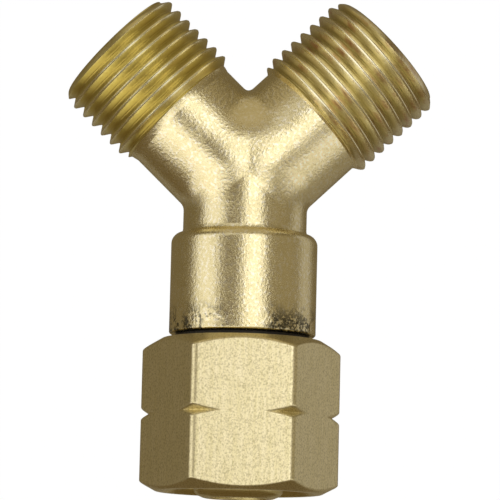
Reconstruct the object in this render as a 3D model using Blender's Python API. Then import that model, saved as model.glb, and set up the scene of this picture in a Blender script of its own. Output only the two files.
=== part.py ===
"""Y splitter for gas hose: a forged body with two left-hand outlets and a swivel inlet nut.

Lengths are in metres. +Z runs up the inlet's axis, from the tip of the inlet nose at z = 0.
The outlets lean to either side of it in the XZ plane.
"""

import math

import bmesh
import bpy
from mathutils import Matrix

# The 5/8-18 UNF left-hand thread, the same on both outlets and in the nut.
THREAD_PITCH = 0.0254 / 18
OUTLET_CREST_RADIUS = 0.00788
OUTLET_ROOT_RADIUS = 0.00707
NUT_ROOT_RADIUS = 0.00800
NUT_CREST_RADIUS = 0.00720
CREST_FLAT = 0.16
ROOT_FLAT = 0.14

# Heights along the inlet's axis.
NUT_BOTTOM = 0.00065
NUT_HEIGHT = 0.0167
COLLAR_BOTTOM = 0.0178
COLLAR_TOP = 0.0291
JUNCTION = 0.0352

# Forged body.
OUTLET_ANGLE = math.radians(46)
OUTLET_LENGTH = 0.02105
OUTLET_FACE_RADIUS = 0.0071
OUTLET_THREAD_START = 0.0103
OUTLET_CREST_PHASE = {"left": 0.0141, "right": 0.0134}
TUBE_RADIUS = 0.00695
NECK_RADIUS = 0.0068
COLLAR_RADIUS = 0.00805
COLLAR_SHOULDER = 0.0011
COLLAR_CHAMFER = 0.0003
OUTLET_BORE_RADIUS = 0.0040
OUTLET_MOUTH_RADIUS = 0.0056
SOCKET_RADIUS = 0.0050
SOCKET_TOP = 0.0270

# Swivel nipple, pressed into the body.
SHANK_RADIUS = 0.00485
NIPPLE_BORE_RADIUS = 0.0032
NIPPLE_TOP = 0.0267
SHOULDER_RADIUS = 0.0069
SHOULDER_BOTTOM = 0.0050
SHOULDER_TOP = 0.0070
SHOULDER_CHAMFER = 0.0003
NOSE_RADIUS = 0.00505
NOSE_TIP_RADIUS = 0.0038
NOSE_ROUNDING = 0.0012

# Union nut.
NUT_ACROSS_FLATS = 0.01905
NUT_TOP_FACE_RADIUS = 0.00875
NUT_TOP_CHAMFER_ANGLE = math.radians(31)
NUT_BOTTOM_FACE_RADIUS = 0.0091
NUT_BOTTOM_CHAMFER_ANGLE = math.radians(28)
NOTCH_RADIUS = 0.0100
NOTCH_SLOPE = 0.60
NUT_BORE_RADIUS = 0.0053
NUT_MOUTH_RADIUS = 0.0082
NUT_CAVITY_TOP = 0.01395
RELIEF_RADIUS = 0.0081
RELIEF_HEIGHT = 0.0018
RING_SEAT_RADIUS = 0.0075
RING_SEAT_DEPTH = 0.0012

# Slip ring, seated in the back of the nut.
RING_INNER_RADIUS = 0.0051
RING_OUTER_RADIUS = 0.0072
RING_BOTTOM = 0.01645
RING_TOP = 0.01765
RING_EDGE = 0.0002

# Facets round a full turn, and how far cutters pass through what they cut.
ROUND_SEGMENTS = 40
OUTLET_THREAD_SEGMENTS = 24
NUT_THREAD_SEGMENTS = 20
ARC_STEPS = 6
CLEAR = 0.002
SHARP_ANGLE = math.radians(35)

# A thread's rows meet other surfaces at shallow angles, where the exact solver leaves slits.
THREAD_SOLVER = "MANIFOLD"


def clear_scene():
    for thing in list(bpy.data.objects):
        bpy.data.objects.remove(thing)


def material(name, colour, metallic, roughness):
    made = bpy.data.materials.new(name)
    made.use_nodes = True
    shader = made.node_tree.nodes["Principled BSDF"]
    shader.inputs["Base Color"].default_value = (*colour, 1.0)
    shader.inputs["Metallic"].default_value = metallic
    shader.inputs["Roughness"].default_value = roughness
    return made


def solid(name, points, faces):
    """A mesh object with its faces turned outwards."""
    mesh = bpy.data.meshes.new(name)
    mesh.from_pydata(points, [], faces)
    sketch = bmesh.new()
    sketch.from_mesh(mesh)
    bmesh.ops.recalc_face_normals(sketch, faces=sketch.faces)
    sketch.to_mesh(mesh)
    sketch.free()
    made = bpy.data.objects.new(name, mesh)
    bpy.context.scene.collection.objects.link(made)
    return made


def turned(name, profile, segments=ROUND_SEGMENTS):
    """Revolve a closed profile of (radius, height) points about Z. Radius 0 lies on the axis."""
    points = []
    rings = []
    for radius, height in profile:
        count = segments if radius > 0 else 1
        rings.append([len(points) + i for i in range(count)])
        for i in range(count):
            turn = math.tau * i / segments
            points.append((radius * math.cos(turn), radius * math.sin(turn), height))
    faces = []
    for lower, upper in zip(rings, rings[1:] + rings[:1]):
        if len(lower) == len(upper) == 1:
            continue
        for i in range(segments):
            corners = [lower[i % len(lower)], lower[(i + 1) % len(lower)]]
            corners += [upper[(i + 1) % len(upper)], upper[i % len(upper)]]
            faces.append(list(dict.fromkeys(corners)))
    return solid(name, points, faces)


def cylinder(name, radius, bottom, top):
    return turned(name, [(0, bottom), (radius, bottom), (radius, top), (0, top)])


def quarter_arc(start, end, bulge_at_start):
    """Points on a quarter ellipse between two profile points, leaving start along the radius or along Z."""
    arc = []
    for step in range(1, ARC_STEPS):
        turn = math.pi / 2 * step / ARC_STEPS
        along_radius = math.sin(turn) if bulge_at_start == "radius" else 1 - math.cos(turn)
        along_height = 1 - math.cos(turn) if bulge_at_start == "radius" else math.sin(turn)
        radius = start[0] + (end[0] - start[0]) * along_radius
        height = start[1] + (end[1] - start[1]) * along_height
        arc.append((radius, height))
    return arc


def left_hand_rod(name, root_radius, crest_radius, bottom, top, crest_phase, segments):
    """A solid rod with a left-hand thread over all its length, and plain ends.

    Each row of points follows the helix, so the thread's edges run along the facets.
    crest_phase is the height of a crest's middle at angle 0.
    """
    shape = (
        (0.0, root_radius),
        (ROOT_FLAT, root_radius),
        ((1 + ROOT_FLAT - CREST_FLAT) / 2, crest_radius),
        ((1 + ROOT_FLAT + CREST_FLAT) / 2, crest_radius),
    )
    per_turn = len(shape)
    turns = math.ceil((top - bottom) / THREAD_PITCH) + 1
    middle = (1 + ROOT_FLAT) / 2 * THREAD_PITCH
    first = bottom + (crest_phase - middle - bottom) % THREAD_PITCH
    rows = range(-per_turn, turns * per_turn + 1)
    points = []
    index = {}

    def add(key, radius, turn, height):
        index[key] = len(points)
        points.append((radius * math.cos(turn), radius * math.sin(turn), height))

    low_rim = first - 1.5 * THREAD_PITCH
    high_rim = first + (turns + 0.5) * THREAD_PITCH
    for i in range(segments):
        turn = math.tau * i / segments
        add(("low", i), root_radius, turn, low_rim)
        add(("high", i), root_radius, turn, high_rim)
        for row in rows if i == 0 else range(turns * per_turn + 1):
            whole, part = divmod(row, per_turn)
            across, radius = shape[part]
            height = first + THREAD_PITCH * (whole + across - i / segments)
            plain = row <= 0 or row >= (turns - 1) * per_turn
            add((row, i), root_radius if plain else radius, turn, height)
    for row in range(turns * per_turn + 1):
        index[(row, segments)] = index[(row - per_turn, 0)]
    index[("low", segments)] = index[("low", 0)]
    index[("high", segments)] = index[("high", 0)]

    faces = []
    last = turns * per_turn
    for i in range(segments):
        for row in range(last):
            corners = ((row, i), (row, i + 1), (row + 1, i + 1), (row + 1, i))
            faces.append([index[key] for key in corners])
        below = [("low", i), ("low", i + 1), (0, i + 1), (0, i)]
        above = [(last, i), (last, i + 1), ("high", i + 1), ("high", i)]
        if i == 0:
            below += [(row, 0) for row in range(-1, -per_turn - 1, -1)]
        if i == segments - 1:
            above = above[:2] + [(last - step, 0) for step in range(per_turn - 1, -1, -1)] + above[2:]
        faces.append([index[key] for key in below])
        faces.append([index[key] for key in above])
    faces.append([index[("low", i)] for i in range(segments)])
    faces.append([index[("high", i)] for i in range(segments)])
    return solid(name, points, faces)


def combine(target, operation, *tools, solver="EXACT"):
    """Join, cut or trim a solid with others, which are then dropped."""
    for tool in tools:
        modifier = target.modifiers.new(tool.name, "BOOLEAN")
        modifier.operation = operation
        modifier.solver = solver
        modifier.object = tool
        graph = bpy.context.evaluated_depsgraph_get()
        target_mesh = bpy.data.meshes.new_from_object(target.evaluated_get(graph))
        target.modifiers.clear()
        target.data = target_mesh
        bpy.data.objects.remove(tool)
    return target


def finish(made, name, finish_material, height, parent):
    """Name a finished piece, set it at its height under the assembly and shade its round faces."""
    made.name = name
    made.data.name = name
    made.data.materials.clear()
    made.data.materials.append(finish_material)
    made.data.shade_smooth()
    made.data.set_sharp_from_angle(angle=SHARP_ANGLE)
    made.location = (0, 0, height)
    made.parent = parent


def outlet_direction(side):
    """Turn from the inlet's axis to an outlet's axis."""
    return Matrix.Rotation(OUTLET_ANGLE if side == "right" else -OUTLET_ANGLE, 4, "Y")


def threaded_outlet(side):
    """One outlet as a solid stub along its own axis, from the junction out to its end face."""
    thread = left_hand_rod(
        f"{side}_thread",
        OUTLET_ROOT_RADIUS,
        OUTLET_CREST_RADIUS,
        OUTLET_THREAD_START,
        OUTLET_LENGTH,
        OUTLET_CREST_PHASE[side],
        OUTLET_THREAD_SEGMENTS,
    )
    wide = OUTLET_CREST_RADIUS + CLEAR
    envelope = turned(
        f"{side}_thread_limits",
        [
            (0, OUTLET_THREAD_START - CLEAR),
            (TUBE_RADIUS, OUTLET_THREAD_START - CLEAR),
            (TUBE_RADIUS, OUTLET_THREAD_START),
            (wide, OUTLET_THREAD_START + wide - TUBE_RADIUS),
            (wide, OUTLET_LENGTH - (wide - OUTLET_FACE_RADIUS)),
            (OUTLET_FACE_RADIUS, OUTLET_LENGTH),
            (0, OUTLET_LENGTH),
        ],
    )
    tube = cylinder(f"{side}_tube", TUBE_RADIUS, 0, OUTLET_THREAD_START + CLEAR)
    combine(thread, "INTERSECT", envelope, solver=THREAD_SOLVER)
    combine(thread, "UNION", tube, solver=THREAD_SOLVER)
    thread.data.transform(outlet_direction(side))
    return thread


def outlet_bore(side):
    """The outlet's bore with the cone at its mouth that a hose nipple seats in."""
    seat = OUTLET_MOUTH_RADIUS - OUTLET_BORE_RADIUS
    bore = turned(
        f"{side}_bore",
        [
            (0, 0),
            (OUTLET_BORE_RADIUS, 0),
            (OUTLET_BORE_RADIUS, OUTLET_LENGTH - seat),
            (OUTLET_MOUTH_RADIUS + CLEAR, OUTLET_LENGTH + CLEAR),
            (0, OUTLET_LENGTH + CLEAR),
        ],
    )
    bore.data.transform(outlet_direction(side))
    return bore


def neck_and_collar():
    """The turned stem below the junction, down to the collar that the nut backs against."""
    top = COLLAR_TOP - JUNCTION
    bottom = COLLAR_BOTTOM - JUNCTION
    shoulder_start = (NECK_RADIUS, top)
    shoulder_end = (COLLAR_RADIUS, top - COLLAR_SHOULDER)
    profile = [(0, 0), (NECK_RADIUS, 0), shoulder_start]
    profile += quarter_arc(shoulder_start, shoulder_end, "radius")
    profile += [shoulder_end, (COLLAR_RADIUS, bottom + COLLAR_CHAMFER)]
    profile += [(COLLAR_RADIUS - COLLAR_CHAMFER, bottom), (0, bottom)]
    return turned("neck_and_collar", profile)


def build_body(brass, parent):
    """The forged Y with the bores drilled into it. Its origin is where the three axes meet."""
    body = neck_and_collar()
    knuckle = [(0, -TUBE_RADIUS)]
    for step in range(1, 2 * ARC_STEPS):
        turn = math.pi * step / (2 * ARC_STEPS)
        knuckle.append((TUBE_RADIUS * math.sin(turn), -TUBE_RADIUS * math.cos(turn)))
    knuckle.append((0, TUBE_RADIUS))
    combine(body, "UNION", turned("knuckle", knuckle))
    for side in ("left", "right"):
        combine(body, "UNION", threaded_outlet(side), solver=THREAD_SOLVER)
    inlet = cylinder("inlet_bore", NIPPLE_BORE_RADIUS, COLLAR_BOTTOM - CLEAR - JUNCTION, 0)
    socket = cylinder("socket", SOCKET_RADIUS, COLLAR_BOTTOM - CLEAR - JUNCTION, SOCKET_TOP - JUNCTION)
    bores = (inlet, socket, outlet_bore("left"), outlet_bore("right"))
    combine(body, "DIFFERENCE", *bores, solver=THREAD_SOLVER)
    finish(body, "y_body", brass, JUNCTION, parent)


def build_nipple(brass, parent):
    """The tube that carries the nut: its shank fits in the body, and its nose seats on the supply."""
    nose_start = (NOSE_RADIUS, NOSE_ROUNDING)
    profile = [(NIPPLE_BORE_RADIUS, 0), (NOSE_TIP_RADIUS, 0)]
    profile += quarter_arc((NOSE_TIP_RADIUS, 0), nose_start, "radius")
    profile += [
        nose_start,
        (NOSE_RADIUS, SHOULDER_BOTTOM),
        (SHOULDER_RADIUS - SHOULDER_CHAMFER, SHOULDER_BOTTOM),
        (SHOULDER_RADIUS, SHOULDER_BOTTOM + SHOULDER_CHAMFER),
        (SHOULDER_RADIUS, SHOULDER_TOP - SHOULDER_CHAMFER),
        (SHOULDER_RADIUS - SHOULDER_CHAMFER, SHOULDER_TOP),
        (SHANK_RADIUS, SHOULDER_TOP),
        (SHANK_RADIUS, NIPPLE_TOP),
        (NIPPLE_BORE_RADIUS, NIPPLE_TOP),
    ]
    finish(turned("nipple", profile), "swivel_nipple", brass, 0, parent)


def nut_blank():
    """A hexagon bar end, turned to its two chamfers and to the notch round its corners."""
    corner = NUT_ACROSS_FLATS / math.sqrt(3)
    wide = corner + CLEAR
    top_drop = (wide - NUT_TOP_FACE_RADIUS) * math.tan(NUT_TOP_CHAMFER_ANGLE)
    bottom_rise = (wide - NUT_BOTTOM_FACE_RADIUS) * math.tan(NUT_BOTTOM_CHAMFER_ANGLE)
    notch = NOTCH_SLOPE * (wide - NOTCH_RADIUS)
    middle = NUT_HEIGHT / 2
    outline = turned(
        "nut_turning",
        [
            (0, 0),
            (NUT_BOTTOM_FACE_RADIUS, 0),
            (wide, bottom_rise),
            (wide, middle - notch),
            (NOTCH_RADIUS, middle),
            (wide, middle + notch),
            (wide, NUT_HEIGHT - top_drop),
            (NUT_TOP_FACE_RADIUS, NUT_HEIGHT),
            (0, NUT_HEIGHT),
        ],
    )
    top = NUT_HEIGHT + CLEAR
    bar = turned("nut", [(0, -CLEAR), (corner, -CLEAR), (corner, top), (0, top)], 6)
    return combine(bar, "INTERSECT", outline)


def build_nut(brass, parent):
    """The union nut: thread below, a back wall above the nipple's shoulder, and the ring's seat."""
    nut = nut_blank()
    cavity_top = NUT_CAVITY_TOP - NUT_BOTTOM
    relief_bottom = cavity_top - RELIEF_HEIGHT
    thread = left_hand_rod(
        "nut_thread", NUT_CREST_RADIUS, NUT_ROOT_RADIUS, 0, relief_bottom, 0, NUT_THREAD_SEGMENTS
    )
    limits = cylinder("thread_limits", NUT_ROOT_RADIUS + CLEAR, -CLEAR, cavity_top - RELIEF_HEIGHT / 2)
    combine(thread, "INTERSECT", limits, solver=THREAD_SOLVER)
    mouth = NUT_MOUTH_RADIUS + CLEAR
    countersink = turned("mouth", [(0, -CLEAR), (mouth, -CLEAR), (0, mouth - CLEAR)])
    relief = cylinder("relief", RELIEF_RADIUS, relief_bottom, cavity_top)
    bore = cylinder("bore", NUT_BORE_RADIUS, relief_bottom, NUT_HEIGHT + CLEAR)
    seat = cylinder("ring_seat", RING_SEAT_RADIUS, NUT_HEIGHT - RING_SEAT_DEPTH, NUT_HEIGHT + CLEAR)
    combine(nut, "DIFFERENCE", thread, countersink, relief, bore, seat, solver=THREAD_SOLVER)
    finish(nut, "union_nut", brass, NUT_BOTTOM, parent)


def build_ring(rubber, parent):
    """The black slip ring, seated in the back of the nut round the nipple's shank."""
    low = RING_EDGE
    high = RING_TOP - RING_BOTTOM - RING_EDGE
    ring = turned(
        "ring",
        [
            (RING_INNER_RADIUS, low),
            (RING_INNER_RADIUS + RING_EDGE, 0),
            (RING_OUTER_RADIUS - RING_EDGE, 0),
            (RING_OUTER_RADIUS, low),
            (RING_OUTER_RADIUS, high),
            (RING_OUTER_RADIUS - RING_EDGE, high + RING_EDGE),
            (RING_INNER_RADIUS + RING_EDGE, high + RING_EDGE),
            (RING_INNER_RADIUS, high),
        ],
    )
    finish(ring, "slip_ring", rubber, RING_BOTTOM, parent)


def build_splitter():
    clear_scene()
    assembly = bpy.data.objects.new("hose_splitter", None)
    bpy.context.scene.collection.objects.link(assembly)
    build_body(material("blasted_brass", (0.66, 0.57, 0.34), 1.0, 0.38), assembly)
    build_nipple(material("turned_brass", (0.62, 0.50, 0.24), 1.0, 0.25), assembly)
    build_nut(material("drawn_brass", (0.68, 0.58, 0.35), 1.0, 0.33), assembly)
    build_ring(material("black_rubber", (0.02, 0.02, 0.02), 0.0, 0.6), assembly)


build_splitter()
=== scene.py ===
"""Looks of the gas hose Y splitter: forged body, outlet threads, swivel nut, nipple and black ring.

Lengths are in metres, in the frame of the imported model: +Z up the inlet's axis, the outlets in the
XZ plane, and the front towards -Y.
"""

import math

import bmesh
import bpy
import numpy as np
from mathutils import Matrix, Vector


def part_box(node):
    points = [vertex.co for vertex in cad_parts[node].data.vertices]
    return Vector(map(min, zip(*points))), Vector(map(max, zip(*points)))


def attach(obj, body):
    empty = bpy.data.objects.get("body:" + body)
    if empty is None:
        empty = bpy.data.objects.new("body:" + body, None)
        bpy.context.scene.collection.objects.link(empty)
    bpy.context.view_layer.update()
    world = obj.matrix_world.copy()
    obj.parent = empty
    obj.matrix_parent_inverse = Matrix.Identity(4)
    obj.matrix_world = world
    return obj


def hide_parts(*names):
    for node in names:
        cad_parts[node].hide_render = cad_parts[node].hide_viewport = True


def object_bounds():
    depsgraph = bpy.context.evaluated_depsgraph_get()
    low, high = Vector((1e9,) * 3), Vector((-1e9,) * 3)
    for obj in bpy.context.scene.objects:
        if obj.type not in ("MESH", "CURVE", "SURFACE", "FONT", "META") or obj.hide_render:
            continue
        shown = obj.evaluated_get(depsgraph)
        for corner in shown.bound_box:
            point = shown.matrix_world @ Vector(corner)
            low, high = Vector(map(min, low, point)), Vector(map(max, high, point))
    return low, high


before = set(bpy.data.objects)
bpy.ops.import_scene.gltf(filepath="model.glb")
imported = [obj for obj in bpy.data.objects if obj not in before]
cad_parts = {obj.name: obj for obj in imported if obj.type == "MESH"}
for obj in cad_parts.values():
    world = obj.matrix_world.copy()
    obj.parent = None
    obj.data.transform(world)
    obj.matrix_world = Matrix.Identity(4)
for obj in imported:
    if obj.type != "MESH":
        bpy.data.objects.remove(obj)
cad_low, cad_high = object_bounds()

body_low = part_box("y_body")[0]
nut_low, nut_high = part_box("union_nut")
ring_low, ring_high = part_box("slip_ring")
nipple_low, nipple_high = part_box("swivel_nipple")

# Heights read from the frame.
COLLAR_BOTTOM = body_low.z
NUT_BOTTOM = nut_low.z
NUT_TOP = nut_high.z
NUT_HEIGHT = NUT_TOP - NUT_BOTTOM
NUT_ACROSS_FLATS = nut_high.y - nut_low.y
NOSE_TIP = nipple_low.z
NIPPLE_TOP = nipple_high.z

MM = 0.001
# How far a cutter or a joined piece runs past the surface it meets
TRIM = 0.002
# How far off a bore's wall a face may be and still have the bore's finish
WALL_MARGIN = 0.00002

# Forged body. The blends round the inner corners: between the arms at the crotch, between the arms
# on the faces, and between the arms and the neck.
JUNCTION = COLLAR_BOTTOM + 0.0174
COLLAR_TOP = COLLAR_BOTTOM + 0.0113
OUTLET_TURN = math.radians(46)
OUTLET_LENGTH = {"left": 0.0208, "right": 0.0213}
TUBE_RADIUS = 0.00695
NECK_RADIUS = 0.0068
COLLAR_RADIUS = 0.00805
FORK_BLEND = 0.0008
FORK_FACE_BLEND = 0.0050
NECK_BLEND = 0.0026
LEAST_BLEND = 0.00001
# The neck's blend is full where the two surfaces' directions differ by this much (1 - cosine), and on
# the outline it keeps this share of its size.
NECK_BLEND_FULL = 0.3
NECK_BLEND_OUTLINE = 0.15
FORGING_VOXEL = 0.00035
BORE_RADIUS = 0.0040
MOUTH_RADIUS = 0.0056
INLET_BORE_RADIUS = 0.0032
SOCKET_RADIUS = 0.0050
SOCKET_TOP = COLLAR_BOTTOM + 0.0092

# Threads, 5/8-18 UNF left-hand. CREST_HALF, ROOT_HALF and CORNER_SOFTNESS are shares of the pitch.
# THREAD_START and the two after it are along the arm from the junction. RUN_OUT holds the points
# (distance past THREAD_START, rise) of the blank's slope where each thread begins.
PITCH = 0.0254 / 18
CREST_RADIUS = 0.00790
ROOT_RADIUS = 0.00705
NUT_ROOT_RADIUS = 0.00800
NUT_CREST_RADIUS = 0.00720
CREST_HALF = 0.048
ROOT_HALF = 0.045
CORNER_SOFTNESS = 0.045
THREAD_START = 0.0097
THREAD_FINISH_START = {"left": 0.0107, "right": 0.0101}
CREST_PHASE = {"left": 0.0141, "right": 0.0134}
THREAD_WEAR = 0.012 * MM
RUN_OUT = {
    "left": ((0.0, 0.0), (0.00105, 0.00025), (0.00155, 0.00095)),
    "right": ((0.0, 0.0), (0.0004, 0.00065), (0.0008, 0.00098)),
}

# Nut. Its outline is turned, and meets the hexagon in a soft edge. Slopes are from level, and the
# cavity's height is above the nut's bottom.
NUT_CORNER_ROUNDING = 0.0009
NUT_EDGE_BLEND = 0.00035
NUT_TOP_FACE_RADIUS = 0.00875
NUT_TOP_SLOPE = math.radians(31)
NUT_BOTTOM_FACE_RADIUS = 0.0091
NUT_BOTTOM_SLOPE = math.radians(28)
NOTCH_RADIUS = 0.00998
NOTCH_SLOPE = 0.60
NUT_MOUTH_RADIUS = 0.0082
NUT_CAVITY_HEIGHT = 0.0133
NUT_BORE_RADIUS = 0.0053
RELIEF_RADIUS = 0.0081
RELIEF_HEIGHT = 0.0018
RING_SEAT_RADIUS = 0.0075
RING_SEAT_DEPTH = 0.0012

# Nipple and ring. The shoulder's heights are above the nose's tip.
SHANK_RADIUS = 0.00485
NOSE_RADIUS = 0.00505
NOSE_TIP_RADIUS = 0.00375
SHOULDER_RADIUS = 0.0069
SHOULDER_BOTTOM = 0.005
SHOULDER_TOP = 0.007
RING_INNER_RADIUS = 0.0051
RING_OUTER_RADIUS = 0.0074

# Thread colours: the bright and the dull tone of the cut surface, mixed at random, and a darker colour for
# the roots, which is painted shade between the turns. The right outlet's tones are paler and less saturated
# and its roots darker, painting the stronger light and shade on that side.
TARNISH = {"left": 0.20, "right": 1.0}
# How far down from the crest the pale crest colour reaches. The colour is partly wear from rubbing and partly
# painted highlight, and the band is wider on the right outlet.
CREST_WEAR_AND_SHEEN_WIDTH = {"left": 0.00022, "right": 0.00040}
THREAD_TONES_AND_PAINTED_LIGHT = {
    "left": ((0.92, 0.84, 0.45), (0.82, 0.73, 0.34), (0.70, 0.60, 0.26)),
    "right": ((0.95, 0.88, 0.62), (0.85, 0.78, 0.50), (0.62, 0.54, 0.27)),
}


# ---------------------------------------------------------------- meshes


def linked(name, mesh):
    made = bpy.data.objects.new(name, mesh)
    bpy.context.scene.collection.objects.link(made)
    return made


def face_outwards(mesh):
    sketch = bmesh.new()
    sketch.from_mesh(mesh)
    bmesh.ops.recalc_face_normals(sketch, faces=sketch.faces)
    sketch.to_mesh(mesh)
    sketch.free()


def softened(corners, steps=4):
    """A closed outline with each (radius, height, softness) corner rounded by a short curve."""
    outline = []
    count = len(corners)
    for i, (radius, height, softness) in enumerate(corners):
        corner = np.array((radius, height))
        if softness == 0:
            outline.append(corner)
            continue
        before = np.array(corners[i - 1][:2])
        after = np.array(corners[(i + 1) % count][:2])
        reach_before = min(softness, np.linalg.norm(before - corner) * 0.45)
        reach_after = min(softness, np.linalg.norm(after - corner) * 0.45)
        start = corner + (before - corner) / np.linalg.norm(before - corner) * reach_before
        end = corner + (after - corner) / np.linalg.norm(after - corner) * reach_after
        for step in range(steps + 1):
            t = step / steps
            outline.append((1 - t) ** 2 * start + 2 * t * (1 - t) * corner + t**2 * end)
    return outline


def densified(outline, spacing):
    """The same closed outline with points no further apart than spacing."""
    dense = []
    for start, end in zip(outline, outline[1:] + outline[:1]):
        pieces = max(1, math.ceil(np.linalg.norm(end - start) / spacing))
        dense += [start + (end - start) * step / pieces for step in range(pieces)]
    return dense


def turned(name, outline, segments, bar=None):
    """Revolve a closed outline about Z, inside a bar if its (angles, radii) are given."""
    angles, largest = bar or (np.arange(segments) * math.tau / segments, None)
    points = []
    rings = []
    for radius, height in outline:
        first = len(points)
        if radius <= 0:
            points.append((0.0, 0.0, height))
            rings.append([first] * segments)
            continue
        radii = radius if bar is None else soft_minimum(radius, largest, NUT_EDGE_BLEND)
        ring = np.stack([radii * np.cos(angles), radii * np.sin(angles), np.full(segments, height)], 1)
        points += ring.tolist()
        rings.append(list(range(first, first + segments)))
    faces = []
    for lower, upper in zip(rings, rings[1:] + rings[:1]):
        for i in range(segments):
            j = (i + 1) % segments
            corners = list(dict.fromkeys((lower[i], lower[j], upper[j], upper[i])))
            if len(corners) > 2:
                faces.append(corners)
    mesh = bpy.data.meshes.new(name)
    mesh.from_pydata(points, [], faces)
    face_outwards(mesh)
    return linked(name, mesh)


def ball_outline(radius, height, steps):
    """Half a circle from pole to pole, whose centre is on the axis at the given height."""
    outline = []
    for step in range(steps + 1):
        angle = math.pi * step / steps
        outline.append(np.array((radius * math.sin(angle), height - radius * math.cos(angle))))
    outline[0][0] = outline[-1][0] = 0
    return outline


def cylinder(name, radius, bottom, top, segments=160):
    outline = [np.array(p) for p in ((0, bottom), (radius, bottom), (radius, top), (0, top))]
    return turned(name, outline, segments)


def combine(target, operation, *tools):
    """Join, cut or trim a closed mesh with others, which are then dropped."""
    for tool in tools:
        modifier = target.modifiers.new(tool.name, "BOOLEAN")
        modifier.operation = operation
        modifier.solver = "MANIFOLD"
        modifier.object = tool
        apply_modifiers(target)
        bpy.data.objects.remove(tool)
    return target


def shade(made, angle=40):
    made.data.shade_smooth()
    made.data.set_sharp_from_angle(angle=math.radians(angle))


def face_centres(mesh):
    centres = np.empty(len(mesh.polygons) * 3)
    mesh.polygons.foreach_get("center", centres)
    return centres.reshape(-1, 3)


def apply_modifiers(made):
    """Put the result of an object's modifiers in place of its mesh."""
    graph = bpy.context.evaluated_depsgraph_get()
    result = bpy.data.meshes.new_from_object(made.evaluated_get(graph))
    made.modifiers.clear()
    made.data = result


# ---------------------------------------------------------------- threads


def thread_height(phase):
    """Height of the thread's profile, 0 at the root and 1 at the crest, with softened corners."""
    total = 0.0
    offsets = np.linspace(-CORNER_SOFTNESS, CORNER_SOFTNESS, 7)
    for offset in offsets:
        away = abs((phase + offset) % 1 - 0.5)
        rise = (0.5 - ROOT_HALF - away) / (0.5 - ROOT_HALF - CREST_HALF)
        total += min(1.0, max(0.0, rise))
    return total / len(offsets)


def left_hand_rod(name, root, crest, bottom, top, crest_phase, segments=144, rows_per_turn=14, wear=0.0):
    """A solid rod with a left-hand thread whose rows of points follow the helix. Wear makes it uneven."""
    shape = [root + (crest - root) * thread_height(row / rows_per_turn) for row in range(rows_per_turn)]
    turns = math.ceil((top - bottom) / PITCH) + 1
    first = bottom + (crest_phase - PITCH / 2 - bottom) % PITCH
    last = turns * rows_per_turn
    points = []
    index = {}

    def add(key, radius, angle, height):
        index[key] = len(points)
        points.append((radius * math.cos(angle), radius * math.sin(angle), height))

    for i in range(segments):
        angle = math.tau * i / segments
        add(("low", i), root, angle, first - 1.5 * PITCH)
        add(("high", i), root, angle, first + (turns + 0.5) * PITCH)
        start = -rows_per_turn if i == 0 else 0
        for row in range(start, last + 1):
            whole, part = divmod(row, rows_per_turn)
            height = first + PITCH * (whole + part / rows_per_turn - i / segments)
            plain = row <= 0 or row >= last - rows_per_turn
            along = (whole * segments + i) / segments
            waves = math.sin(along * 23.7) + math.sin(along * 61.3 + 1.7)
            wobble = wear * waves * (shape[part] - root) / (crest - root)
            add((row, i), root if plain else shape[part] + wobble, angle, height)
    for row in range(last + 1):
        index[(row, segments)] = index[(row - rows_per_turn, 0)]
    index[("low", segments)] = index[("low", 0)]
    index[("high", segments)] = index[("high", 0)]

    faces = []
    for i in range(segments):
        for row in range(last):
            corners = ((row, i), (row, i + 1), (row + 1, i + 1), (row + 1, i))
            faces.append([index[key] for key in corners])
        below = [("low", i), ("low", i + 1), (0, i + 1), (0, i)]
        above = [(last, i), (last, i + 1), ("high", i + 1), ("high", i)]
        if i == 0:
            below += [(row, 0) for row in range(-1, -rows_per_turn - 1, -1)]
        if i == segments - 1:
            seam = [(last - step, 0) for step in range(rows_per_turn - 1, -1, -1)]
            above = above[:2] + seam + above[2:]
        faces.append([index[key] for key in below])
        faces.append([index[key] for key in above])
    faces.append([index[("low", i)] for i in range(segments)])
    faces.append([index[("high", i)] for i in range(segments)])
    mesh = bpy.data.meshes.new(name)
    mesh.from_pydata(points, [], faces)
    face_outwards(mesh)
    return linked(name, mesh)


# ---------------------------------------------------------------- forged body


def soft_minimum(a, b, blend):
    """The smaller of two distances, rounded where they are within blend of each other."""
    mix = np.clip(0.5 + 0.5 * (b - a) / blend, 0, 1)
    return b + (a - b) * mix - blend * mix * (1 - mix)


def arm_direction(side):
    return np.array((math.sin(OUTLET_TURN) * (1 if side == "right" else -1), 0, math.cos(OUTLET_TURN)))


def rod_field(points, direction, radius):
    """Distance to a round-ended rod from the junction along direction, and which way it grows."""
    from_junction = points - np.array((0, 0, JUNCTION))
    along = np.clip(from_junction @ direction, 0, None)
    away = from_junction - along[:, None] * direction
    distance = np.linalg.norm(away, axis=1)
    return distance - radius, away / np.maximum(distance, 1e-6)[:, None]


def forging_distance(points):
    """Distance to the forging: three rods, each pair blended where their surfaces meet at an angle."""
    left, left_away = rod_field(points, arm_direction("left"), TUBE_RADIUS)
    right, right_away = rod_field(points, arm_direction("right"), TUBE_RADIUS)
    neck, neck_away = rod_field(points, np.array((0.0, 0.0, -1.0)), NECK_RADIUS)
    facing = np.clip(np.abs(points[:, 1]) / TUBE_RADIUS, 0.0, 1)
    fork_angle = np.clip(1 - (left_away * right_away).sum(1), 0.0, 1)
    web = FORK_BLEND + (FORK_FACE_BLEND - FORK_BLEND) * facing**4
    arms = soft_minimum(left, right, web * np.sqrt(fork_angle) + LEAST_BLEND)
    arms_away = np.where((left < right)[:, None], left_away, right_away)
    neck_angle = np.clip(1 - (arms_away * neck_away).sum(1), 0.0, NECK_BLEND_FULL) / NECK_BLEND_FULL
    throat = NECK_BLEND * np.sqrt(neck_angle) * np.maximum(facing, NECK_BLEND_OUTLINE)
    return soft_minimum(arms, neck, throat + LEAST_BLEND)


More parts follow.
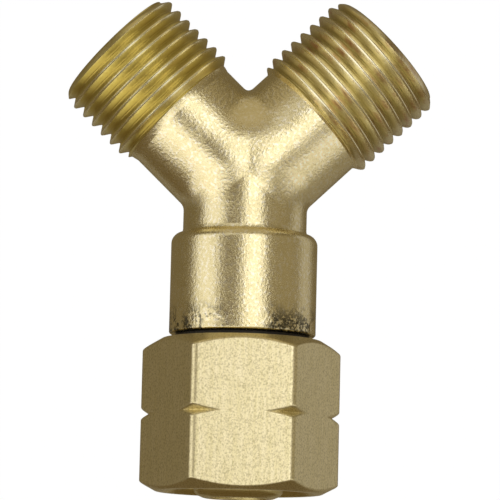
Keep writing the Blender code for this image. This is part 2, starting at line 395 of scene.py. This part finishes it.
def settle_on_forging(mesh, rounds=6):
    """Move every point of a mesh onto the forging's surface."""
    points = np.empty(len(mesh.vertices) * 3)
    mesh.vertices.foreach_get("co", points)
    points = points.reshape(-1, 3)
    step = 0.01 * MM
    least_slope = 0.5
    for _ in range(rounds):
        here = forging_distance(points)
        slope = np.empty_like(points)
        for axis in range(3):
            moved = points.copy()
            moved[:, axis] += step
            slope[:, axis] = (forging_distance(moved) - here) / step
        points -= (here / np.maximum((slope**2).sum(1), least_slope**2))[:, None] * slope
    mesh.vertices.foreach_set("co", points.ravel())
    mesh.update()


def rod_along(name, direction, radius, length):
    turn = Vector((0, 0, 1)).rotation_difference(Vector(direction)).to_matrix().to_4x4()
    rod = cylinder(name, radius, 0, length, 64)
    rod.data.transform(Matrix.Translation((0, 0, JUNCTION)) @ turn)
    return rod


def forging():
    """The blended skin of the fork and neck, closed at the three ends, which later pieces cover."""
    blank = turned("forging", ball_outline(TUBE_RADIUS, JUNCTION, 32), 64)
    combine(blank, "UNION", rod_along("stem", (0, 0, -1), NECK_RADIUS, JUNCTION - COLLAR_BOTTOM - TRIM))
    for side in ("left", "right"):
        combine(blank, "UNION", rod_along(side, arm_direction(side), TUBE_RADIUS, THREAD_START + TRIM))
    remesh = blank.modifiers.new("even", "REMESH")
    remesh.mode = "VOXEL"
    remesh.voxel_size = FORGING_VOXEL
    apply_modifiers(blank)
    settle_on_forging(blank.data)
    finer = blank.modifiers.new("finer", "SUBSURF")
    finer.levels = finer.render_levels = 1
    apply_modifiers(blank)
    settle_on_forging(blank.data)
    return blank


def close_forging_ends(blank):
    """Trim the settled skin square at its ends, inside the collar and the threads."""
    keep = cylinder("keep_stem", NECK_RADIUS + TRIM, COLLAR_BOTTOM + TRIM, JUNCTION)
    for side in ("left", "right"):
        reach = THREAD_START + 0.5 * TRIM
        arm = rod_along(f"keep_{side}", arm_direction(side), TUBE_RADIUS + TRIM, reach)
        combine(keep, "UNION", arm)
    combine(keep, "UNION", turned("keep_ball", ball_outline(1.6 * TUBE_RADIUS, JUNCTION, 24), 64))
    return combine(blank, "INTERSECT", keep)


def collar():
    """The turned collar below the neck, with a small fillet and a fine witness line above its shoulder."""
    corners = [
        (0, COLLAR_BOTTOM + 0.12 * MM, 0),
        (COLLAR_RADIUS - 0.14 * MM, COLLAR_BOTTOM + 0.12 * MM, 0.06 * MM),
        (COLLAR_RADIUS, COLLAR_BOTTOM + 0.26 * MM, 0.10 * MM),
        (COLLAR_RADIUS, COLLAR_BOTTOM + 4 * MM, 0),
        (COLLAR_RADIUS, COLLAR_TOP - 0.85 * MM, 0.4 * MM),
        (COLLAR_RADIUS - 0.45 * MM, COLLAR_TOP - 0.22 * MM, 0.4 * MM),
        (NECK_RADIUS + 0.10 * MM, COLLAR_TOP - 0.02 * MM, 0.03 * MM),
        (NECK_RADIUS + 0.07 * MM, COLLAR_TOP + 0.08 * MM, 0.05 * MM),
        (NECK_RADIUS + 0.01 * MM, COLLAR_TOP + 0.35 * MM, 0.12 * MM),
        (NECK_RADIUS - 0.15 * MM, COLLAR_TOP + 1.2 * MM, 0),
        (0, COLLAR_TOP + 1.2 * MM, 0),
    ]
    return turned("collar", softened(corners, 6), 240)


def outlet_thread(side):
    """One outlet's thread, trimmed to the blank's two chamfers, along its own axis."""
    length = OUTLET_LENGTH[side]
    rod = left_hand_rod(
        f"{side}_thread", ROOT_RADIUS, CREST_RADIUS, THREAD_START, length, CREST_PHASE[side], wear=THREAD_WEAR
    )
    wide = CREST_RADIUS + TRIM
    inner = TUBE_RADIUS - 0.05 * MM
    corners = [(0, THREAD_START - TRIM, 0), (inner, THREAD_START - TRIM, 0)]
    for along, rise in RUN_OUT[side]:
        corners.append((inner + rise, THREAD_START + along, 0.1 * MM))
    corners += [
        (wide, THREAD_START + RUN_OUT[side][-1][0] + TRIM, 0),
        (wide, length - 0.85 * MM - TRIM, 0),
        (CREST_RADIUS - 0.15 * MM, length - 0.75 * MM, 0.3 * MM),
        (CREST_RADIUS - 0.75 * MM, length - 0.05 * MM, 0.3 * MM),
        (MOUTH_RADIUS, length, 0),
        (0, length, 0),
    ]
    return combine(rod, "INTERSECT", turned(f"{side}_blank", softened(corners, 6), 200))


def outlet_bore(side):
    length = OUTLET_LENGTH[side]
    seat = MOUTH_RADIUS - BORE_RADIUS
    corners = [
        (0, 0, 0),
        (BORE_RADIUS, 0, 0),
        (BORE_RADIUS, length - seat, 0.1 * MM),
        (MOUTH_RADIUS - 0.05 * MM, length - 0.05 * MM, 0.15 * MM),
        (MOUTH_RADIUS + 1.2 * MM, length + 0.6 * MM, 0),
        (0, length + 0.6 * MM, 0),
    ]
    return turned(f"{side}_bore", softened(corners), 128)


def set_on_arm(made, side):
    turn = Matrix.Rotation(OUTLET_TURN if side == "right" else -OUTLET_TURN, 4, "Y")
    made.data.transform(Matrix.Translation((0, 0, JUNCTION)) @ turn)
    return made


def build_body(forged, threads, bored):
    body = close_forging_ends(forging())
    combine(body, "UNION", collar())
    for side in ("left", "right"):
        combine(body, "UNION", set_on_arm(outlet_thread(side), side))
    inlet = cylinder("inlet_bore", INLET_BORE_RADIUS, COLLAR_BOTTOM - TRIM, JUNCTION, 96)
    socket = cylinder("socket", SOCKET_RADIUS, COLLAR_BOTTOM - TRIM, SOCKET_TOP, 96)
    arms = [set_on_arm(outlet_bore(side), side) for side in ("left", "right")]
    combine(body, "DIFFERENCE", inlet, socket, *arms)
    body.name = "forged_body"
    finish_body(body, forged, threads, bored)
    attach(body, "body")
    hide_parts("y_body")


def finish_body(body, forged, threads, bored):
    """Give the threads, the bores and the forging their own finishes, face by face."""
    body.data.materials.clear()
    for finish in (forged, threads["left"], threads["right"], bored):
        body.data.materials.append(finish)
    forged_slot, left_slot, right_slot, bored_slot = range(4)
    centres = face_centres(body.data) - np.array((0, 0, JUNCTION))
    slots = np.full(len(centres), forged_slot)
    around_inlet = np.hypot(centres[:, 0], centres[:, 1])
    slots[(around_inlet < SOCKET_RADIUS + WALL_MARGIN) & (centres[:, 2] < 0)] = bored_slot
    for thread_slot, side in ((left_slot, "left"), (right_slot, "right")):
        along = centres @ arm_direction(side)
        off_axis = np.linalg.norm(centres - along[:, None] * arm_direction(side), axis=1)
        threaded = (along > THREAD_FINISH_START[side]) & (off_axis < CREST_RADIUS + 0.5 * MM)
        slots[threaded] = thread_slot
        slots[(along > 0) & (off_axis < BORE_RADIUS + WALL_MARGIN)] = bored_slot
    body.data.polygons.foreach_set("material_index", slots)
    shade(body, 38)


# ---------------------------------------------------------------- nut, nipple, ring


def hexagon_bar():
    """Angles and radii round a hexagon bar with rounded corners and one flat square to -Y."""
    half = NUT_ACROSS_FLATS / 2
    centre = (half - NUT_CORNER_ROUNDING) / math.cos(math.pi / 6)
    tangent = math.pi / 6 - math.atan2(centre / 2, half)
    near = np.linspace(-2 * tangent, 2 * tangent, 25)
    across = np.linspace(2 * tangent, math.pi / 3 - 2 * tangent, 60)[1:-1]
    from_corner = np.concatenate([near, across])
    corner_side = np.minimum(np.abs(from_corner), math.pi / 3 - np.abs(from_corner))
    flats = half / np.cos(math.pi / 6 - corner_side)
    offset = np.minimum(np.sin(corner_side) * centre, NUT_CORNER_ROUNDING)
    arc = centre * np.cos(corner_side) + np.sqrt(NUT_CORNER_ROUNDING**2 - offset**2)
    radii = np.where(corner_side < tangent, arc, flats)
    turns = [from_corner + side * math.pi / 3 for side in range(6)]
    return np.concatenate(turns), np.tile(radii, 6)


def nut_blank():
    """The solid hexagon with its turned ends and the V groove that notches its corners."""
    wide = NUT_ACROSS_FLATS / math.sqrt(3) + 0.5 * MM
    core = 4 * MM
    top_drop = (wide - NUT_TOP_FACE_RADIUS) * math.tan(NUT_TOP_SLOPE)
    bottom_rise = (wide - NUT_BOTTOM_FACE_RADIUS) * math.tan(NUT_BOTTOM_SLOPE)
    notch = NOTCH_SLOPE * (wide - NOTCH_RADIUS)
    middle = NUT_HEIGHT / 2
    soft = 0.10 * MM
    corners = [
        (core, 0, 0),
        (NUT_BOTTOM_FACE_RADIUS, 0, soft),
        (wide, bottom_rise, soft),
        (wide, middle - notch, 0),
        (NOTCH_RADIUS, middle, 0.04 * MM),
        (wide, middle + notch, 0),
        (wide, NUT_HEIGHT - top_drop, soft),
        (NUT_TOP_FACE_RADIUS, NUT_HEIGHT, soft),
        (core, NUT_HEIGHT, 0),
    ]
    bar = hexagon_bar()
    return turned("union_nut_blank", densified(softened(corners), 0.12 * MM), len(bar[0]), bar)


def build_nut(finish, threaded):
    nut = nut_blank()
    relief_bottom = NUT_CAVITY_HEIGHT - RELIEF_HEIGHT
    thread_end = NUT_CAVITY_HEIGHT - RELIEF_HEIGHT / 2
    thread = left_hand_rod("nut_thread", NUT_CREST_RADIUS, NUT_ROOT_RADIUS, 0, relief_bottom, 0)
    combine(thread, "INTERSECT", cylinder("thread_limits", NUT_ROOT_RADIUS + TRIM, -TRIM, thread_end))
    mouth = NUT_MOUTH_RADIUS
    lead_in = [np.array(p) for p in ((0, -TRIM), (mouth + TRIM, -TRIM), (0, mouth))]
    relief = cylinder("relief", RELIEF_RADIUS, relief_bottom, NUT_CAVITY_HEIGHT)
    bore = cylinder("bore", NUT_BORE_RADIUS, relief_bottom, NUT_HEIGHT + TRIM)
    seat = cylinder("ring_seat", RING_SEAT_RADIUS, NUT_HEIGHT - RING_SEAT_DEPTH, NUT_HEIGHT + TRIM)
    combine(nut, "DIFFERENCE", thread, turned("lead_in", lead_in, 200), relief, bore, seat)
    nut.data.transform(Matrix.Translation((0, 0, NUT_BOTTOM)))
    nut.name = "swivel_nut"
    nut.data.materials.clear()
    nut.data.materials.append(finish)
    nut.data.materials.append(threaded)
    centres = face_centres(nut.data)
    inside = np.hypot(centres[:, 0], centres[:, 1]) < mouth + WALL_MARGIN
    nut.data.polygons.foreach_set("material_index", inside.astype(int))
    shade(nut, 40)
    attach(nut, "nut")
    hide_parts("union_nut")


def build_nipple(finish):
    corners = [
        (INLET_BORE_RADIUS, NOSE_TIP + 0.02 * MM, 0.15 * MM),
        (NOSE_TIP_RADIUS, NOSE_TIP, 0.3 * MM),
        (NOSE_RADIUS - 0.25 * MM, NOSE_TIP + 0.45 * MM, 0.6 * MM),
        (NOSE_RADIUS, NOSE_TIP + 1.6 * MM, 0.6 * MM),
        (NOSE_RADIUS, NOSE_TIP + SHOULDER_BOTTOM, 0.2 * MM),
        (SHOULDER_RADIUS, NOSE_TIP + SHOULDER_BOTTOM, 0.25 * MM),
        (SHOULDER_RADIUS, NOSE_TIP + SHOULDER_TOP, 0.25 * MM),
        (SHANK_RADIUS, NOSE_TIP + SHOULDER_TOP, 0.15 * MM),
        (SHANK_RADIUS, NIPPLE_TOP, 0.3 * MM),
        (INLET_BORE_RADIUS, NIPPLE_TOP, 0.1 * MM),
    ]
    nipple = turned("nipple", softened(corners, 6), 200)
    nipple.data.materials.append(finish)
    shade(nipple, 40)
    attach(nipple, "body")
    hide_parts("swivel_nipple")


def build_ring(finish):
    soft = 0.2 * MM
    top = ring_high.z + 0.2 * MM
    corners = [
        (RING_INNER_RADIUS, ring_low.z, soft),
        (RING_OUTER_RADIUS, ring_low.z, soft),
        (RING_OUTER_RADIUS, top, soft),
        (RING_INNER_RADIUS, top, soft),
    ]
    ring = turned("black_ring", softened(corners), 160)
    ring.data.materials.append(finish)
    shade(ring, 60)
    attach(ring, "ring")
    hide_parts("slip_ring")


# ---------------------------------------------------------------- materials


class Nodes:
    """Short names for building one material's node tree."""

    def __init__(self, name):
        self.material = bpy.data.materials.new(name)
        self.material.use_nodes = True
        self.tree = self.material.node_tree
        self.shader = self.tree.nodes["Principled BSDF"]
        self.coordinates = self.tree.nodes.new("ShaderNodeTexCoord").outputs["Object"]

    def link(self, source, target):
        self.tree.links.new(source, target)

    def placed(self, scale, turn=(0, 0, 0)):
        """Object coordinates in the given cells per metre along each axis, after a turn."""
        rotate = self.tree.nodes.new("ShaderNodeMapping")
        rotate.inputs["Rotation"].default_value = turn
        self.link(self.coordinates, rotate.inputs["Vector"])
        stretch = self.tree.nodes.new("ShaderNodeMapping")
        stretch.inputs["Scale"].default_value = scale
        self.link(rotate.outputs["Vector"], stretch.inputs["Vector"])
        return stretch.outputs["Vector"]

    def noise(self, scale, turn=(0, 0, 0), detail=3.0, roughness=0.6):
        made = self.tree.nodes.new("ShaderNodeTexNoise")
        made.inputs["Scale"].default_value = 1.0
        made.inputs["Detail"].default_value = detail
        made.inputs["Roughness"].default_value = roughness
        scales = (scale, scale, scale) if isinstance(scale, (int, float)) else scale
        self.link(self.placed(scales, turn), made.inputs["Vector"])
        return made.outputs["Fac"]

    def remap(self, value, low, high, to_low, to_high):
        made = self.tree.nodes.new("ShaderNodeMapRange")
        for name, number in zip(("From Min", "From Max", "To Min", "To Max"), (low, high, to_low, to_high)):
            made.inputs[name].default_value = number
        self.link(value, made.inputs["Value"])
        return made.outputs["Result"]

    def math(self, operation, first, second):
        made = self.tree.nodes.new("ShaderNodeMath")
        made.operation = operation
        for socket, value in zip(made.inputs, (first, second)):
            if isinstance(value, (int, float)):
                socket.default_value = value
            else:
                self.link(value, socket)
        return made.outputs["Value"]

    def vector(self, operation, first, second=None):
        made = self.tree.nodes.new("ShaderNodeVectorMath")
        made.operation = operation
        self.link(first, made.inputs[0])
        if second is not None:
            made.inputs[1].default_value = second
        return made

    def mix(self, factor, first, second):
        made = self.tree.nodes.new("ShaderNodeMix")
        made.data_type = "RGBA"
        self.link(factor, made.inputs["Factor"])
        for socket, value in ((made.inputs[6], first), (made.inputs[7], second)):
            if isinstance(value, tuple):
                socket.default_value = (*value, 1.0)
            else:
                self.link(value, socket)
        return made.outputs[2]

    def bump(self, height, distance, strength=1.0, over=None):
        made = self.tree.nodes.new("ShaderNodeBump")
        made.inputs["Strength"].default_value = strength
        made.inputs["Distance"].default_value = distance
        self.link(height, made.inputs["Height"])
        if over is not None:
            self.link(over, made.inputs["Normal"])
        return made.outputs["Normal"]

    def finished(self, colour, roughness, normal):
        self.shader.inputs["Metallic"].default_value = 1.0
        self.link(colour, self.shader.inputs["Base Color"])
        self.link(roughness, self.shader.inputs["Roughness"])
        self.link(normal, self.shader.inputs["Normal"])
        return self.material


def handling_marks(n):
    """Where the collar's lower edge is scuffed: broken dark lines on its two sides."""
    place = n.tree.nodes.new("ShaderNodeSeparateXYZ")
    n.link(n.coordinates, place.inputs["Vector"])
    low = n.remap(place.outputs["Z"], COLLAR_BOTTOM + 3.4 * MM, COLLAR_BOTTOM + 1.2 * MM, 0, 1)
    aside = n.remap(n.math("ABSOLUTE", place.outputs["X"], 0), 1.6 * MM, 3.0 * MM, 0, 1)
    lines = n.math("ABSOLUTE", n.math("SUBTRACT", n.noise(620, detail=4.0, roughness=0.7), 0.5), 0)
    thin = n.remap(lines, 0.020, 0.070, 1, 0)
    patches = n.remap(n.noise(330, detail=1.0), 0.36, 0.46, 0, 1)
    where = n.math("MULTIPLY", n.math("MULTIPLY", low, aside), patches)
    return n.math("MULTIPLY", thin, where), where


def blasted_brass():
    """Forged brass with a bead-blasted grain whose peaks carry painted glints, and handling marks near the
    collar's lower edge.
    """
    n = Nodes("blasted_brass")
    grain = n.noise(3000, detail=3.0, roughness=0.6)
    cloud = n.noise(450, detail=3.0)
    marks, worn = handling_marks(n)
    clean = n.mix(n.remap(cloud, 0.35, 0.65, 0, 1), (0.87, 0.77, 0.47), (0.80, 0.70, 0.40))
    # The pale colour mixed in at the grain's peaks is painted glints, standing for the light that the blasted
    # grain catches.
    grain_with_painted_glints = n.mix(n.remap(grain, 0.50, 0.66, 0, 0.8), clean, (0.97, 0.92, 0.76))
    colour = n.mix(n.math("MULTIPLY", marks, 0.92), grain_with_painted_glints, (0.07, 0.065, 0.05))
    roughness = n.remap(grain, 0.3, 0.7, 0.30, 0.20)
    fine = n.bump(grain, 0.037 * MM)
    dents = n.bump(n.math("MULTIPLY", worn, n.noise(900, detail=2.0)), 0.12 * MM, over=fine)
    return n.finished(colour, roughness, dents)


def height_on_thread(n, side, low, high):
    """0 at one distance from an outlet's own axis and 1 at another."""
    away = n.vector("SUBTRACT", n.coordinates, (0, 0, JUNCTION))
    across = n.vector("CROSS_PRODUCT", away.outputs["Vector"], tuple(arm_direction(side)))
    return n.remap(n.vector("LENGTH", across.outputs["Vector"]).outputs["Value"], low, high, 0, 1)


def thread_brass(side):
    """Cut brass with fine marks round the thread, pale crests that are partly wear from rubbing and partly
    painted highlight, roots darkened with painted shade, and reddish tarnish.
    """
    n = Nodes(f"thread_brass_{side}")
    turn = (0, -OUTLET_TURN if side == "right" else OUTLET_TURN, 0)
    marks = n.noise((1600, 1600, 6500), turn, detail=3.0)
    speck = n.noise(3600, detail=3.0)
    tarnish = n.remap(n.noise(380, detail=4.0), 0.50, 0.66, 0, TARNISH[side])
    light, dark, root = THREAD_TONES_AND_PAINTED_LIGHT[side]
    clean = n.mix(n.remap(speck, 0.35, 0.65, 0, 1), light, dark)
    tarnished = n.mix(tarnish, clean, (0.60, 0.39, 0.24))
    # Towards the roots the colour darkens: painted shade between the turns.
    rise = height_on_thread(n, side, ROOT_RADIUS + 0.05 * MM, CREST_RADIUS - CREST_WEAR_AND_SHEEN_WIDTH[side])
    root_shaded = n.mix(rise, root, tarnished)
    # The pale crest colour is partly wear from rubbing and partly painted highlight.
    rubbed_and_lit_crest = height_on_thread(n, side, CREST_RADIUS - CREST_WEAR_AND_SHEEN_WIDTH[side], CREST_RADIUS - 0.03 * MM)
    colour = n.mix(n.math("MULTIPLY", rubbed_and_lit_crest, 0.85), root_shaded, (0.98, 0.92, 0.67))
    roughness = n.remap(rubbed_and_lit_crest, 0, 1, 0.30, 0.22)
    lines = n.bump(marks, 0.004 * MM)
    return n.finished(colour, roughness, n.bump(speck, 0.020 * MM, over=lines))


def turned_brass(name="turned_brass"):
    """Lathe-turned brass with fine rings."""
    n = Nodes(name)
    marks = n.noise((200, 200, 8000), detail=2.0)
    speck = n.noise(3000, detail=2.0)
    colour = n.mix(n.remap(speck, 0.35, 0.65, 0, 1), (0.76, 0.65, 0.33), (0.68, 0.57, 0.27))
    return n.finished(colour, n.remap(marks, 0.3, 0.7, 0.22, 0.32), n.bump(marks, 0.008 * MM))


def drawn_brass():
    """Hexagon bar: fine dark pits strung out along faint lengthwise drawing lines."""
    n = Nodes("drawn_brass")
    streaks = n.noise((3800, 3800, 260), detail=3.0)
    pits = n.noise((5600, 5600, 4800), detail=2.0, roughness=0.7)
    dark = n.remap(pits, 0.44, 0.68, 0, 1)
    lined = n.mix(n.remap(streaks, 0.35, 0.65, 0, 1), (0.95, 0.86, 0.58), (0.86, 0.77, 0.46))
    colour = n.mix(n.math("MULTIPLY", dark, 0.75), lined, (0.50, 0.43, 0.22))
    roughness = n.remap(pits, 0.3, 0.7, 0.30, 0.38)
    lines = n.bump(streaks, 0.006 * MM)
    return n.finished(colour, roughness, n.bump(pits, 0.014 * MM, over=lines))


# Near-black, rough finish of the ring that fills the dark band between the collar and the nut.
def black_rubber():
    n = Nodes("black_rubber")
    n.shader.inputs["Metallic"].default_value = 0.0
    grain = n.noise(2500, detail=2.0)
    n.link(n.mix(grain, (0.008, 0.007, 0.006), (0.02, 0.018, 0.016)), n.shader.inputs["Base Color"])
    n.link(n.remap(grain, 0.3, 0.7, 0.5, 0.7), n.shader.inputs["Roughness"])
    n.link(n.bump(grain, 0.01 * MM), n.shader.inputs["Normal"])
    return n.material


# ---------------------------------------------------------------- studio

CENTRE = Vector((0, 0, (cad_low.z + cad_high.z) / 2))
AIM = Vector((0.00063, 0, NOSE_TIP + 0.0274))
CAMERA_DISTANCE = 0.364
CAMERA_AZIMUTH = -2.0
CAMERA_ELEVATION = -7.2
CAMERA_ROLL = 1.4
CAMERA_LENS = 238

# The floor hides the lights behind it, so the low cards and flags lie a little above it, and the floor
# that lights and reflections meet lies a little below it.
FLOOR = NOSE_TIP - 0.045
FLOOR_RADIUS = 1.3
FLOOR_THICKNESS = 0.002
FLOOR_GLOW = 0.5
FLOOR_COLOUR = (0.8, 0.8, 0.8)
CARD_HEIGHT = FLOOR + 0.001
FLAG_HEIGHT = FLOOR + 0.0005
BOUNCE_HEIGHT = FLOOR - 0.0002
BACKDROP_RADIUS = 1.4
LIGHT_RANGE = 0.6
WHITE = (1.0, 1.0, 1.0)
WARM = (1.0, 0.90, 0.68)
WORLD_COLOUR = (1.0, 0.78, 0.42)
WORLD_RADIANCE = 0.17

# Soft boxes, name: (azimuth in degrees from the front towards +X, elevation in degrees, width, height,
# radiance, colour)
SOFTBOXES = {
    "front": (14, 4, 0.37, 0.70, 1.34, WHITE),
    "left": (-63, 4, 0.46, 0.60, 0.88, WHITE),
    "front_high": (-24, 30, 0.36, 0.20, 0.60, WHITE),
    "overhead": (0, 80, 0.80, 0.80, 0.30, WARM),
    "right_fill": (66, 4, 0.50, 0.70, 0.12, WARM),
    "right_back": (112, 0, 0.35, 0.90, 0.30, WHITE),
}

# Low reflector cards, name: (azimuth in degrees, distance, width, depth, radiance)
CARDS = {
    "card_left": (-41, 0.36, 0.36, 0.54, 0.98),
    "card_right": (58, 0.17, 0.16, 0.14, 0.62),
}

# Low dull cards that the camera doesn't see, name: (azimuth, distance, width, depth)
FLAGS = {
    "flag_left": (-98, 0.19, 0.24, 0.30),
    "flag_under": (180, 0.02, 0.12, 0.12),
}
FLAG_COLOUR = (0.38, 0.31, 0.19)


def direction(azimuth, elevation):
    """Unit vector from the object towards a place round it. Azimuth 0 is the front, 90 is +X."""
    a, e = math.radians(azimuth), math.radians(elevation)
    return Vector((math.sin(a) * math.cos(e), -math.cos(a) * math.cos(e), math.sin(e)))


def panel_light(name, width, height, radiance, colour=WHITE):
    light = bpy.data.lights.new(name, "AREA")
    light.shape = "RECTANGLE"
    light.size = width
    light.size_y = height
    light.energy = radiance * math.pi * width * height
    light.color = colour
    made = bpy.data.objects.new(name, light)
    made.visible_camera = False
    bpy.context.scene.collection.objects.link(made)
    return made


def softbox(name, azimuth, elevation, width, height, radiance, colour):
    made = panel_light(name, width, height, radiance, colour)
    towards = direction(azimuth, elevation)
    made.location = CENTRE + towards * LIGHT_RANGE
    made.rotation_euler = towards.to_track_quat("Z", "Y").to_euler()


def low_card(name, azimuth, distance, width, depth, radiance):
    """A card that lies just above the floor and lights the object from below."""
    made = panel_light(name, width, depth, radiance)
    made.location = direction(azimuth, 0) * distance + Vector((0, 0, CARD_HEIGHT))
    made.rotation_euler = (math.pi, 0, math.radians(azimuth))


def low_flag(name, azimuth, distance, width, depth):
    """A dull card just above the floor that only reflections show."""
    corners = [(x * width / 2, y * depth / 2, 0) for x, y in ((-1, -1), (1, -1), (1, 1), (-1, 1))]
    mesh = bpy.data.meshes.new(name)
    mesh.from_pydata(corners, [], [(0, 1, 2, 3)])
    made = linked(name, mesh)
    made.location = direction(azimuth, 0) * distance + Vector((0, 0, FLAG_HEIGHT))
    made.rotation_euler = (0, 0, math.radians(azimuth))
    made.data.materials.append(plain(name, FLAG_COLOUR, 0.0))
    made.visible_camera = False
    made.visible_diffuse = False
    made.visible_shadow = False


def plain(name, colour, emission):
    made = bpy.data.materials.new(name)
    made.use_nodes = True
    shader = made.node_tree.nodes["Principled BSDF"]
    shader.inputs["Base Color"].default_value = (*colour, 1)
    shader.inputs["Roughness"].default_value = 0.9
    shader.inputs["Emission Color"].default_value = (1, 1, 1, 1)
    shader.inputs["Emission Strength"].default_value = emission
    return made


def build_floor():
    """A pale floor for the camera, and one just below it that lights and reflections meet."""
    seen = cylinder("floor", FLOOR_RADIUS, -FLOOR_THICKNESS, 0.0, 96)
    seen.location = (0, 0, FLOOR)
    seen.data.materials.append(plain("floor_white", FLOOR_COLOUR, FLOOR_GLOW))
    seen.visible_diffuse = False
    seen.visible_glossy = False
    seen.visible_shadow = False
    bounce = cylinder("floor_bounce", FLOOR_RADIUS, -FLOOR_THICKNESS, 0.0, 96)
    bounce.location = (0, 0, BOUNCE_HEIGHT)
    bounce.data.materials.append(plain("bounce_white", FLOOR_COLOUR, 0.0))
    bounce.visible_camera = False


def build_backdrop():
    """A white dome that only the camera sees, so that the background is plain in every view."""
    dome = turned("backdrop", ball_outline(BACKDROP_RADIUS, 0, 24), 96)
    dome.data.materials.append(plain("backdrop_white", (0.0, 0.0, 0.0), 1.0))
    dome.visible_diffuse = False
    dome.visible_glossy = False
    dome.visible_shadow = False


def build_world():
    world = bpy.data.worlds.new("studio")
    world.use_nodes = True
    background = world.node_tree.nodes["Background"]
    background.inputs["Color"].default_value = (*WORLD_COLOUR, 1)
    background.inputs["Strength"].default_value = WORLD_RADIANCE
    bpy.context.scene.world = world


def build_camera():
    data = bpy.data.cameras.new("camera")
    data.lens = CAMERA_LENS
    data.clip_start = 0.01
    made = bpy.data.objects.new("camera", data)
    towards = direction(CAMERA_AZIMUTH, CAMERA_ELEVATION)
    made.location = AIM + towards * CAMERA_DISTANCE
    made.rotation_mode = "QUATERNION"
    level = towards.to_track_quat("Z", "Y").to_matrix()
    roll = Matrix.Rotation(math.radians(CAMERA_ROLL), 3, "Z")
    made.rotation_quaternion = (level @ roll).to_quaternion()
    bpy.context.scene.collection.objects.link(made)
    bpy.context.scene.camera = made


def main():
    bored = turned_brass("bored_brass")
    build_body(blasted_brass(), {side: thread_brass(side) for side in ("left", "right")}, bored)
    build_nut(drawn_brass(), turned_brass("nut_thread_brass"))
    build_nipple(turned_brass())
    build_ring(black_rubber())
    build_camera()
    build_floor()
    build_backdrop()
    build_world()
    for name, settings in SOFTBOXES.items():
        softbox(name, *settings)
    for name, settings in CARDS.items():
        low_card(name, *settings)
    for name, settings in FLAGS.items():
        low_flag(name, *settings)
    bpy.context.scene.view_settings.view_transform = "Standard"


main()
